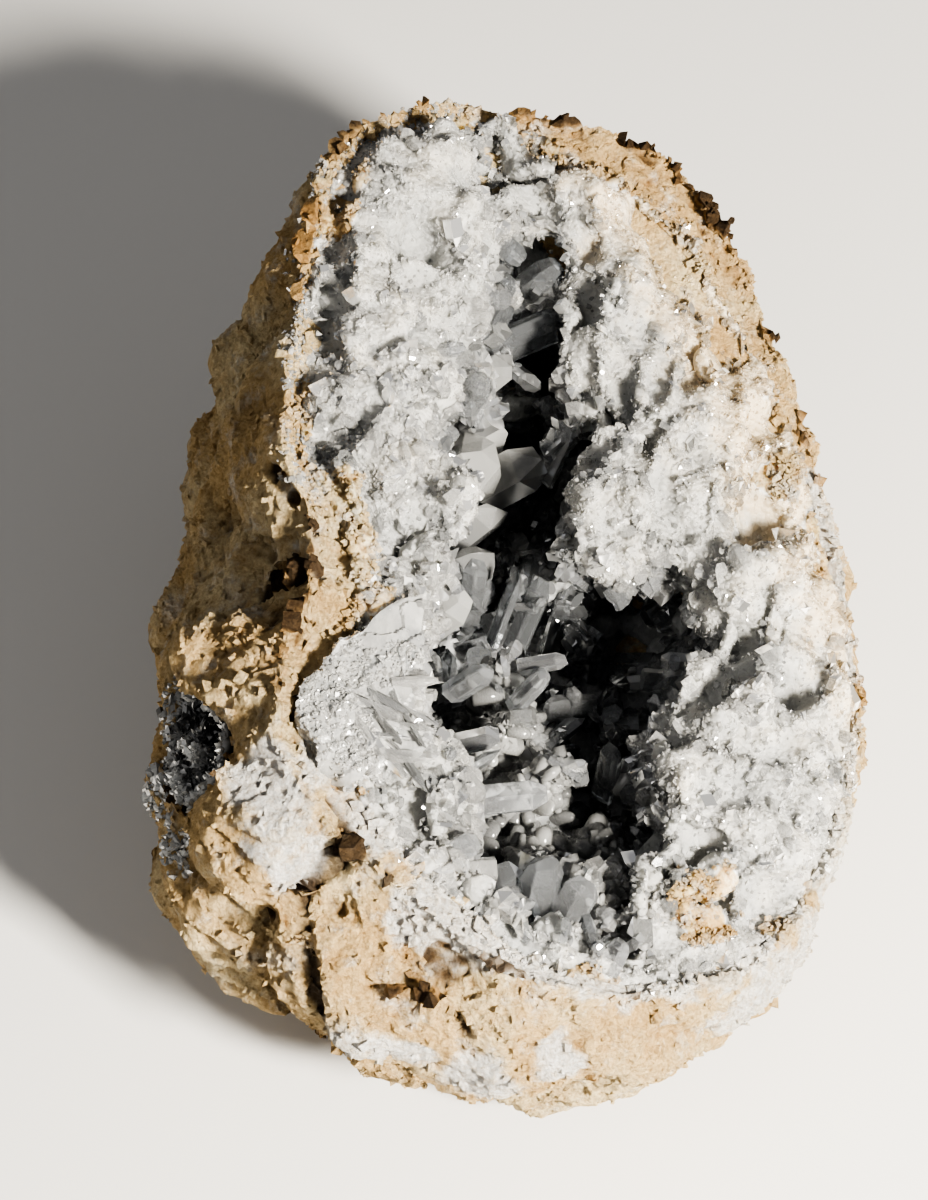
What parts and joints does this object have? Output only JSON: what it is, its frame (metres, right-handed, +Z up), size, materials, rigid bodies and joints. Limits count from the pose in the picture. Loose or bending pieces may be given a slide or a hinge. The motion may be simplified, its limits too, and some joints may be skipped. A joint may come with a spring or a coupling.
{
  "type": "celestite geode",
  "caption": "Egg-shaped limestone geode, broken open across the top, its deep hollow and rim lined with one crust of clear grey celestite crystals.",
  "frame": {"origin": "under the middle of the geode's box, on the surface that its flat foot rests on", "axes": "+Z up, +Y along the egg towards its narrow end, the side pocket on the -X flank"},
  "size_m": [0.1416, 0.214, 0.1011],
  "materials": {
    "limestone": "rough, crumbly and chalky",
    "celestite": "clear to milky crystal",
    "pocket_celestite": "dull clear crystal"
  },
  "bodies": {
    "root": {"rind": "limestone", "crystal_crust": "celestite", "pocket_crystals": "pocket_celestite"}
  },
  "joints": []
}
